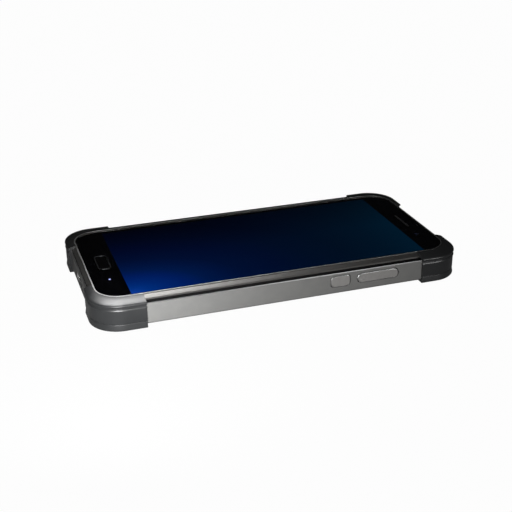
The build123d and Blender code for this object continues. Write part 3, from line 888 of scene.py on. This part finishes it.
# Liquid crystal panel, lit from behind: it shines by itself and mirrors nothing.
DISPLAY = Screen("lit_display", "#010102", "#010102", roughness=0.5)
# Turned and polished steel of the camera's trim: bright, with clear lights.
TRIM = Finish(
    "polished_steel", "#7b7d80", "#86888b", roughness=0.3, metallic=1.0, grain=0.2,
    depth=0.001, mottle=3.0,
)
# Physical vapour deposited black chrome on the home key's trim.
DARK_TRIM = Finish(
    "black_chrome", "#3c3e40", "#444648", roughness=0.3, metallic=1.0, grain=0.2, depth=0.0005,
    mottle=2.0,
)
# Gloss black ABS of the home key: deep black, with small sharp lights.
KEY_BLACK = Finish("gloss_black_abs", "#040405", "#060607", roughness=0.14, spread=0.02,
                   ior=1.2, grain=0.4, depth=0.001)
# Blasted and sealed aluminium of the side keys: fine and matt, near to the housing's lacquer.
KEY_METAL = Finish(
    "blasted_aluminium", "#989694", "#9f9d9b", roughness=0.42, metallic=0.15, grain=0.12,
    depth=0.003, mottle=2.0,
)
# Cast magnesium of the mid frame: dull and slightly cloudy.
CASTING = Finish(
    "cast_magnesium", "#8b8e90", "#9a9d9f", roughness=0.5, metallic=1.0, grain=0.5, depth=0.01,
    mottle=8.0,
)
# Green solder mask over copper tracks: satin, with lighter lines where the tracks are.
BOARD = Circuit("solder_mask", "#0f3d25", "#124a2c", roughness=0.35, grain=2.5, depth=0.005)
# Drawn tin-plated steel: soft streaks along the drawing direction.
SHIELD = Finish(
    "tinned_steel", "#b4b6b6", "#c2c4c3", roughness=0.32, metallic=1.0, grain=0.2,
    depth=0.001, mottle=4.0, stretch=(6.0, 1.0, 1.0),
)
# Moulded epoxy of chip packages: near black and dull.
EPOXY = Finish("moulded_epoxy", "#1b1c1d", "#232425", roughness=0.6, grain=0.1, depth=0.004)
# Shrunk film round the battery cell: dark, with slight wrinkles.
WRAP = Finish("battery_film", "#2a2d33", "#30343b", roughness=0.3, grain=1.2, depth=0.01)
# Adhesive tape, a pale translucent film.
TAPE = Finish("adhesive_tape", "#c9c6b4", "#d4d1c2", roughness=0.35, grain=0.8)
# Polyimide film of flexible circuits, amber over copper.
FILM = Finish("polyimide_film", "#8a4f16", "#a3621f", roughness=0.3, grain=0.6,
              stretch=(8.0, 1.0, 1.0))
# Fired ceramic of the patch antenna: cream and dry.
CERAMIC = Finish("fired_ceramic", "#c8bfae", "#d6cebf", roughness=0.45, grain=0.15)
# Frosted light guide, lit bluish white.
GUIDE = Glowing("lit_light_guide", "#c8d0e0", "#ccd4ff", roughness=0.4, strength=0.5)
# Diffusing lens of the flash: pale yellow, with fine facets.
FLASH = Finish("flash_lens", "#d9d6c4", "#e6e3d0", roughness=0.2, grain=0.25, depth=0.02)
# Coated camera lens: near black with a blue cast.
LENS = Finish("coated_lens", "#0b1020", "#121a33", roughness=0.3, grain=1.0, depth=0.0)
# Woven steel mesh of the earpiece and the loudspeaker, drawn at its real spacing; its holes are
# painted near black as painted shade.
MESH = Woven("woven_mesh", "#606163", "#606163", roughness=0.45, metallic=0.6, grain=0.25,
             depth=0.06)
# Nickel-plated can of the microphone: warm and bright.
CAN = Finish("nickel_can", "#b0a98f", "#bcb59b", roughness=0.3, metallic=1.0, grain=0.2)
# Moulded card bodies: dark grey and satin.
CARD = Finish("card_plastic", "#20242b", "#282d35", roughness=0.4, grain=0.15)
# Brushed steel of the motor, the port's shell, the pivot and the board screws: fine streaks.
STEEL = Finish(
    "brushed_steel", "#a5a6a6", "#b5b6b6", roughness=0.34, metallic=1.0, grain=0.08,
    depth=0.001, stretch=(1.0, 8.0, 1.0),
)
# Sintered tungsten: darker than steel and dull.
TUNGSTEN = Finish("sintered_tungsten", "#5d5c5a", "#696866", roughness=0.5, metallic=1.0,
                  grain=0.15)
# Black oxide on the case screws: dark, with the steel's gloss.
BLACKENED = Finish("blackened_steel", "#2b2b2c", "#353536", roughness=0.38, metallic=1.0,
                   grain=0.1)

# CAD nodes whose shape is right as it is, with their finish
CARRIED_OVER = {
    "mid_frame": CASTING, "display_flex": FILM, "display_connector": EPOXY,
    "earpiece_receiver": EPOXY, "front_camera": LENS, "home_switch": SHIELD,
    "power_switch": SHIELD, "volume_pivot": STEEL, "volume_switches": SHIELD,
    "key_flex": FILM, "key_bracket": SHIELD, "main_board": BOARD, "sub_board": BOARD,
    "battery": WRAP, "battery_tapes": TAPE, "battery_lead": FILM, "link_flex": FILM,
    "link_connectors": EPOXY, "processor": EPOXY, "processor_shield": SHIELD,
    "radio_chip": EPOXY, "radio_shield": SHIELD, "gnss_antenna": CERAMIC, "microphone": CAN,
    "loudspeaker": EPOXY, "speaker_mesh": MESH, "memory_card": CARD, "sim_card": CARD,
    "card_socket": SHIELD, "vibration_motor": STEEL, "motor_shaft": STEEL,
    "motor_weight": TUNGSTEN, "board_screws": STEEL,
}


# ---- Sub-assemblies ----


@dataclass(frozen=True)
class Taken:
    """A CAD node that is modelled further by breaking its edges.

    Args:
        node: the CAD node.
        name: the finished piece's name.
        finish: its surface.
        slot: its material slot.
        edge: how wide its edges are broken, in millimetres.
    """

    node: str
    name: str
    finish: Finish
    slot: Slot
    edge: float

    def build(self) -> Object:
        """Models and dresses the piece.

        Returns:
            The piece.
        """
        piece = copy_of(self.node, self.name)
        break_edges(piece, self.edge)
        return settle(piece, self.finish, self.slot, self.node)


@dataclass
class Bumpers:
    """The four soft corners, cut from one ring. All sizes are in millimetres.

    The ring's section goes from the foot over a step, the band, a bead, a groove and a shoulder
    to the crown, which rises to the lip round the glass, and comes back behind the housing.
    """

    # Corner radii
    radius: float = 12.0
    housing_radius: float = 10.6
    glass_radius: float = 9.9
    lip_radius: float = 9.95
    # Outwards from the glass, and inwards from the housing
    lip: float = 0.65
    wall: float = 1.6
    seat: float = 0.75
    # Inwards from the widest line, or from the bead for bead_lean
    foot_lean: float = 0.45
    foot_inset: float = 0.6
    band: float = 0.3
    bead: float = 0.1
    bead_lean: float = 0.22
    groove: float = 0.6
    flange: float = 3.9
    # Heights of each part of the section
    foot_band: float = 2.9
    foot_groove: float = 0.35
    bead_height: float = 0.6
    bead_slope: float = 0.12
    neck_height: float = 1.0
    shoulder_height: float = 0.75
    under: float = 1.1
    # Depths below the glass's face
    shoulder: float = 0.7
    cover: float = 0.95
    rest: float = 1.2
    # The crown's lines, and how strongly it bends
    crown_lines: int = 4
    crown_bend: float = 1.5
    # Radii that the section's edges are rounded with
    foot_round: float = 0.5
    shoulder_round: float = 0.5
    sole_round: float = 0.2
    edge_round: float = 0.15
    line_round: float = 0.12
    bead_round: float = 0.1
    groove_round: float = 0.08
    # Edges in each corner
    steps: int = 16
    names: tuple[str, ...] = (
        "bumper_bottom_right", "bumper_top_right", "bumper_bottom_left", "bumper_top_left"
    )

    def build(self) -> None:
        """Models the whole ring once and cuts a copy of it to each corner."""
        ring = self.ring()
        for name in self.names:
            piece = ring.copy()
            piece.data = ring.data.copy()
            piece.name = piece.data.name = f"rubber_{name.removeprefix('bumper_')}"
            bpy.context.scene.collection.objects.link(piece)
            low, high = box_mm(name)
            mid = (low + high) / 2
            inner = Vector((high.x if mid.x < 0 else low.x, high.y if mid.y < 0 else low.y, 0))
            cut(piece, inner, Vector((1 if mid.x < 0 else -1, 0, 0)))
            cut(piece, inner, Vector((0, 1 if mid.y < 0 else -1, 0)))
            outward(piece)
            settle(piece, RUBBER, Slot.BUMPER, name)
        bpy.data.objects.remove(ring)

    def ring(self) -> Object:
        """Leads the bumpers' section all the way round the body.

        Returns:
            The ring.
        """
        outer = outline_of(self.radius, *self.names)
        foot = outer.grown(-self.foot_inset)
        band = outer.grown(-self.band)
        groove = outer.grown(-self.groove)
        rim = outer.grown(-self.bead)
        inner = outer.grown(-self.flange)
        housing = outline_of(self.housing_radius, "rear_housing")
        seat, inside = housing.grown(-self.seat), housing.grown(-self.wall)
        lip = outline_of(self.glass_radius, "cover_glass").grown(self.lip)
        lip = replace(lip, radius=self.lip_radius)
        top = box_mm(self.names[0])[1].z
        glass_top = box_mm("cover_glass")[1].z
        shoulder = glass_top - self.shoulder
        edge = shoulder - self.shoulder_height
        neck = edge - self.neck_height
        bead = neck - self.bead_height
        base = glass_top - self.rest
        cover = glass_top - self.cover
        foot_top = self.foot_band - self.foot_groove
        dome = []
        for i in range(1, self.crown_lines):
            share = 1 - i / self.crown_lines
            z = top - (top - shoulder) * share**self.crown_bend
            dome.append(Section(lip.between(rim, share), z))
        sections = [
            Section(inner, 0.0, self.sole_round),
            Section(outer, 0.0, self.foot_round),
            Section(outer.grown(-self.foot_lean), foot_top, self.edge_round),
            Section(foot, foot_top, self.groove_round),
            Section(foot, self.foot_band, self.groove_round),
            Section(band, self.foot_band, self.line_round),
            Section(band, bead, self.groove_round),
            Section(rim, bead, self.bead_round),
            Section(rim.grown(-self.bead_lean), neck, self.line_round),
            Section(groove, neck + self.bead_slope, self.groove_round),
            Section(groove, edge, self.bead_round),
            Section(rim, edge, self.edge_round),
            Section(rim, shoulder, self.shoulder_round),
            *dome,
            Section(lip, top, self.line_round),
            Section(lip, cover),
            Section(inside, cover),
            Section(inside, base),
            Section(seat, base),
            Section(seat, self.under),
            Section(inner, self.under, self.sole_round),
        ]
        return loft("bumper_ring", sections, self.steps, ring=True)


@dataclass
class Case:
    """Housing, bezel and seal.

    Args:
        housing_edge: how wide the housing's edges are broken, in millimetres.
        bezel_edge: how wide the bezel's edges are broken, in millimetres.
        rim_band: height of the housing's bright rim, in millimetres.
        rim_ways: least and largest Z of the normals on that rim.
        lip_band: height of the bezel's bright lip, in millimetres.
        lip_rise: how far the lip stands above the bezel's slope, in millimetres.
        strip_lines: how many parts the slope has.
        strip_bend: 1 for a flat slope, more for a crowned one.
        near: how near two places are that count as one, in millimetres.
    """

    housing_edge: float = 0.12
    bezel_edge: float = 0.1
    rim_band: float = 0.4
    rim_ways: tuple[float, float] = (0.2, 0.95)
    lip_band: float = 0.28
    lip_rise: float = 0.3
    strip_lines: int = 4
    strip_bend: float = 1.6
    near: float = 0.01

    def build(self) -> None:
        """Takes over the CAD shells and works them as the mould and the cutter do."""
        housing = Taken(
            "rear_housing", "housing_shell", LACQUER, Slot.CASE, self.housing_edge
        ).build()
        rim = box_mm("rear_housing")[1].z - self.rim_band
        low, high = self.rim_ways
        accent(housing, CUT, lambda at, way: at.z > rim and low < way.z < high)
        bezel = copy_of("front_bezel", "bezel_frame")
        self.crown(bezel)
        break_edges(bezel, self.bezel_edge)
        settle(bezel, BEZEL, Slot.BEZEL, "front_bezel")
        lip = box_mm("front_bezel")[1].z - self.lip_band
        accent(bezel, CUT, lambda at, way: at.z > lip)
        settle(copy_of("bezel_gasket", "bezel_seal"), SEAL, Slot.SEAL, "bezel_gasket")

    def crown(self, bezel: Object) -> None:
        """Bends the bezel's flat slope into a crown that is shallow at the lip and steep outside.

        Args:
            bezel: the bezel, with its slope as one flat face on each side.
        """
        points = [v.co / MM for v in bezel.data.vertices]
        edge = max(p.y for p in points)
        low = max(p.z for p in points if p.y > edge - self.near)
        high = box_mm("front_bezel")[1].z - self.lip_rise
        lip = max(p.y for p in points if p.z > high + self.near)
        beyond = (lip + self.near) * MM
        for i in range(1, self.strip_lines):
            share = i / self.strip_lines
            z = (high - (high - low) * share) * MM
            flat = lip + (edge - lip) * share
            bent = lip + (edge - lip) * share ** (1 / self.strip_bend)
            edit(
                bezel,
                take_all,
                lambda: bpy.ops.mesh.bisect(plane_co=(0, 0, z), plane_no=(0, 0, 1)),
            )
            pick(bezel, lambda v: abs(v.co.z - z) < MERGE and abs(v.co.y) > beyond)
            edit(
                bezel,
                lambda: bpy.ops.transform.resize(
                    value=(1, bent / flat, 1), center_override=(0, 0, 0)
                ),
            )
        log.info("crown of the bezel: %.2f to %.2f mm high", low, high)


@dataclass
class Front:
    """Glass, printed border, display, earpiece, home key and status light.

    Args:
        parts: what is taken over, from the glass down.
        ink: height of the ink's two faces above the glass's inner side, in millimetres.
        ink_gap: how far the ink stays inside the glass's outline, in millimetres.
        ink_radius: radius of the glass's corners that the ink follows, in millimetres.
        lit_margin: how far the ink reaches over the display, in millimetres.
        lit_radius: radius of the display's corners that it follows, in millimetres.
        window_round: a window's corner radius as a share of its shorter side.
        eye: side and corner radius of the front camera's round window, in millimetres.
        reach: how far the windows' cutters go below and above the ink, in millimetres.
        steps: edges in each corner, of the ink and of its windows.
    """

    parts: tuple[Taken, ...] = (
        Taken("cover_glass", "glass_pane", GLASS, Slot.GLASS, 0.15),
        Taken("display_panel", "display_module", DISPLAY, Slot.DISPLAY, 0.15),
        Taken("earpiece_mesh", "earpiece_grille", MESH, Slot.MESH, 0.06),
        Taken("home_ring", "home_trim", DARK_TRIM, Slot.TRIM, 0.06),
        Taken("home_key", "home_button", KEY_BLACK, Slot.HOME_KEY, 0.1),
        Taken("key_light", "status_light", GUIDE, Slot.LIGHT, 0.05),
    )
    ink: tuple[float, float] = (0.01, 0.06)
    ink_gap: float = 0.05
    ink_radius: float = 9.3
    lit_margin: float = 0.5
    lit_radius: float = 0.9
    window_round: float = 0.42
    eye: tuple[float, float] = (2.0, 0.999)
    reach: tuple[float, float] = (1.0, 0.5)
    steps: tuple[int, int] = (10, 8)

    def build(self) -> None:
        """Models what is seen through and in the glass."""
        glass, *others = self.parts
        glass.build()
        self.border()
        for part in others:
            part.build()

    def border(self) -> None:
        """The black ink on the inner side of the glass, with its windows."""
        lit = outline_of(self.lit_radius, "display_panel").grown(-self.lit_margin)
        outer = outline_of(self.ink_radius, "cover_glass").grown(-self.ink_gap)
        bottom, top = (box_mm("cover_glass")[0].z + height for height in self.ink)
        ring = loft(
            "printed_border",
            [Section(outer, bottom), Section(outer, top), Section(lit, top), Section(lit, bottom)],
            self.steps[0],
            ring=True,
        )
        for node in ("home_ring", "earpiece_mesh", "front_camera", "key_light"):
            window = outline_of(0.0, node)
            if node == "front_camera":
                side, radius = self.eye
                window = replace(window, length=side, width=side, radius=radius)
            else:
                radius = min(window.length, window.width) * self.window_round
                window = replace(window, radius=radius)
            ends = (bottom - self.reach[0], bottom + self.reach[1])
            subtract(ring, loft("cutter", [Section(window, z) for z in ends], self.steps[1]))
        settle(ring, PRINT, Slot.GLASS)


@dataclass
class Sides:
    """Side keys, card tray, port and screws.

    Args:
        parts: what is taken over.
        key_face: Y beyond which the side keys' broken edges are bright, in millimetres.
        edge_ways: least and largest Y of the normals on those edges.
    """

    parts: tuple[Taken, ...] = (
        Taken("power_key", "power_button", KEY_METAL, Slot.SIDE_KEY, 0.08),
        Taken("volume_key", "volume_button", KEY_METAL, Slot.SIDE_KEY, 0.08),
        Taken("sim_tray", "card_tray_body", KEY_METAL, Slot.TRAY, 0.08),
        Taken("usb_port", "port_shell", STEEL, Slot.SHIELD, 0.05),
        Taken("port_tongue", "port_contact_tongue", EPOXY, Slot.CHIP, 0.08),
        Taken("case_screws", "case_screw_set", BLACKENED, Slot.SCREW, 0.05),
    )
    key_face: float = -37.9
    edge_ways: tuple[float, float] = (-0.97, -0.1)

    def build(self) -> None:
        """Models the pieces, with bright edges on the side keys."""
        low, high = self.edge_ways
        for part in self.parts:
            piece = part.build()
            if part.slot is Slot.SIDE_KEY:
                accent(piece, CUT, lambda at, way: at.y < self.key_face and low < way.y < high)


@dataclass
class Back:
    """What shows in the back: the rear camera and its flash."""

    parts: tuple[Taken, ...] = (
        Taken("rear_camera", "camera_module", LENS, Slot.LENS, 0.08),
        Taken("rear_camera_window", "camera_window", WINDOW, Slot.LENS, 0.06),
        Taken("rear_camera_trim", "camera_trim", TRIM, Slot.TRIM, 0.08),
        Taken("flash_lens", "flash_window", FLASH, Slot.LENS, 0.1),
    )

    def build(self) -> None:
        """Models the pieces."""
        for part in self.parts:
            part.build()


@dataclass
class InnerWorks:
    """What lies inside and keeps its CAD shape."""

    finishes: dict[str, Finish] = field(default_factory=lambda: dict(CARRIED_OVER))

    def build(self) -> None:
        """Dresses the carried-over nodes."""
        for node, finish in self.finishes.items():
            obj = frame["nodes"][node]
            obj.data.materials.clear()
            obj.data.materials.append(finish.material())
            log.info("%s: carried over, %s", node, finish.name)


# ---- Studio ----


@dataclass(frozen=True)
class SoftBox:
    """A rectangular lamp.

    Args:
        name: its name.
        place: its middle, in millimetres.
        aim: what it points at, in millimetres.
        size: its width and height, in millimetres.
        power: its power in watts.
        spread: the angle that the grid before it narrows its light to, in degrees.
    """

    name: str
    place: tuple[float, float, float]
    aim: tuple[float, float, float]
    size: tuple[float, float]
    power: float
    spread: float = 180.0

    def build(self) -> None:
        """Adds the lamp."""
        light = bpy.data.lights.new(self.name, "AREA")
        light.shape = "RECTANGLE"
        light.size, light.size_y = self.size[0] * MM, self.size[1] * MM
        light.energy = self.power
        light.spread = math.radians(self.spread)
        lamp = bpy.data.objects.new(self.name, light)
        way = Vector(self.aim) - Vector(self.place)
        turned = way.to_track_quat("-Z", "Y").to_matrix().to_4x4()
        lamp.matrix_world = Matrix.Translation(Vector(self.place) * MM) @ turned
        lamp.visible_camera = False
        bpy.context.scene.collection.objects.link(lamp)
        log.info("lamp %s: %.2f W", self.name, self.power)


@dataclass
class Studio:
    """Floor, lamps and camera. All sizes are in millimetres."""

    # Camera: focal length, width of the sensor, nearest distance, place and directions
    lens: float = 68.515
    sensor: float = 36.0
    clip: float = 10.0
    place: tuple[float, float, float] = (-118.88, -354.48, 173.53)
    right: tuple[float, float, float] = (0.94748, -0.31974, -0.00703)
    up: tuple[float, float, float] = (0.13790, 0.38860, 0.91103)
    ahead: tuple[float, float, float] = (0.28857, 0.86415, -0.41229)
    # Floor: radius, sides, colour and roughness under the lamps
    floor_radius: float = 6000.0
    floor_sides: int = 96
    paper: str = "#707070"
    matt: float = 0.5
    # Share of pure white in the floor that the camera sees. The rest shows the shadow.
    white: float = 0.98
    # Whiteness of floor and room in gloss, and the colour of the room's own light
    floor_mirrored: float = 0.08
    room_mirrored: float = 0.01
    room: str = "#0b0b0b"
    lamps: tuple[SoftBox, ...] = (
        SoftBox("top_box", (-25, 190, 300), (-50, -76, 10), (130, 60), 0.031, spread=24),
        SoftBox("key_box", (-85, -110, 40), (-60, -38, 5), (40, 40), 0.18),
        SoftBox("rim_box", (150, -210, 350), (30, -38, 9), (140, 60), 0.08),
        SoftBox("side_box", (160, -220, 60), (60, -38, 5), (60, 60), 0.12),
    )

    def build(self) -> None:
        """Sets up everything that isn't the object."""
        bpy.context.scene.view_settings.view_transform = "Standard"
        self.camera()
        self.floor()
        self.surroundings()
        for lamp in self.lamps:
            lamp.build()

    def camera(self) -> None:
        """The camera."""
        data = bpy.data.cameras.new("camera")
        data.lens, data.sensor_width = self.lens, self.sensor
        data.clip_start = self.clip * MM
        camera = bpy.data.objects.new("camera", data)
        axes = Matrix((self.right, self.up, -Vector(self.ahead))).transposed().to_4x4()
        camera.matrix_world = Matrix.Translation(Vector(self.place) * MM) @ axes
        bpy.context.scene.collection.objects.link(camera)
        bpy.context.scene.camera = camera

    def floor(self) -> None:
        """A wide round floor."""
        bpy.ops.object.select_all(action="DESELECT")
        bpy.ops.mesh.primitive_circle_add(
            vertices=self.floor_sides, radius=self.floor_radius * MM, fill_type="NGON"
        )
        floor = bpy.context.object
        floor.name = "floor"
        floor.data.materials.append(self.floor_material())

    def floor_material(self) -> Material:
        """Makes white paper, which is white with a faint shadow to the camera and in glass.

        Returns:
            The material.
        """
        made = bpy.data.materials.new("white_paper")
        tree = cleared(made)
        seen = self.seen(tree, self.floor_mirrored)
        share = add(tree, "ShaderNodeMath", {0: seen, 1: self.white}, operation="MULTIPLY")
        lit = {"Color": linear(self.paper), "Roughness": self.matt}
        paper = add(tree, "ShaderNodeBsdfDiffuse", lit)
        glow = {"Color": linear("#ffffff"), "Strength": 1.0}
        white = add(tree, "ShaderNodeEmission", glow)
        values = {0: share.outputs[0], 1: paper.outputs[0], 2: white.outputs[0]}
        mix = add(tree, "ShaderNodeMixShader", values)
        add(tree, "ShaderNodeOutputMaterial", {"Surface": mix.outputs[0]})
        return made

    def seen(self, tree: NodeTree, mirrored: float) -> NodeSocket:
        """How white a backdrop looks to a ray.

        Args:
            tree: the backdrop's nodes.
            mirrored: its whiteness in glossy surfaces.

        Returns:
            1 for the camera's own rays and straight through glass, the mirrored share in gloss,
            else 0, as for gloss under glass.
        """
        path = add(tree, "ShaderNodeLightPath", {}).outputs
        maths = "ShaderNodeMath"
        straight = add(tree, maths, {0: path["Glossy Depth"]}, operation="LESS_THAN").outputs[0]
        share = path["Is Camera Ray"]
        for key, part in (("Is Transmission Ray", straight), ("Is Glossy Ray", mirrored)):
            part = add(tree, maths, {0: path[key], 1: part}, operation="MULTIPLY").outputs[0]
            share = add(tree, maths, {0: share, 1: part}, operation="MAXIMUM").outputs[0]
        return share

    def surroundings(self) -> None:
        """A dim room, whose far walls the camera sees as white as the floor."""
        world = bpy.data.worlds.new("room")
        tree = cleared(world)
        seen = self.seen(tree, self.room_mirrored)
        dim, white = (
            add(tree, "ShaderNodeBackground", {"Color": linear(colour)}).outputs[0]
            for colour in (self.room, "#ffffff")
        )
        mix = add(tree, "ShaderNodeMixShader", {0: seen, 1: dim, 2: white}).outputs[0]
        add(tree, "ShaderNodeOutputWorld", {"Surface": mix})
        bpy.context.scene.world = world


def main() -> None:
    """Builds the object and its studio."""
    logging.basicConfig(level=logging.INFO, format="%(name)s: %(message)s")
    for part in (Studio(), Bumpers(), Case(), Front(), Sides(), Back(), InnerWorks()):
        part.build()


if __name__ == "__main__":
    main()
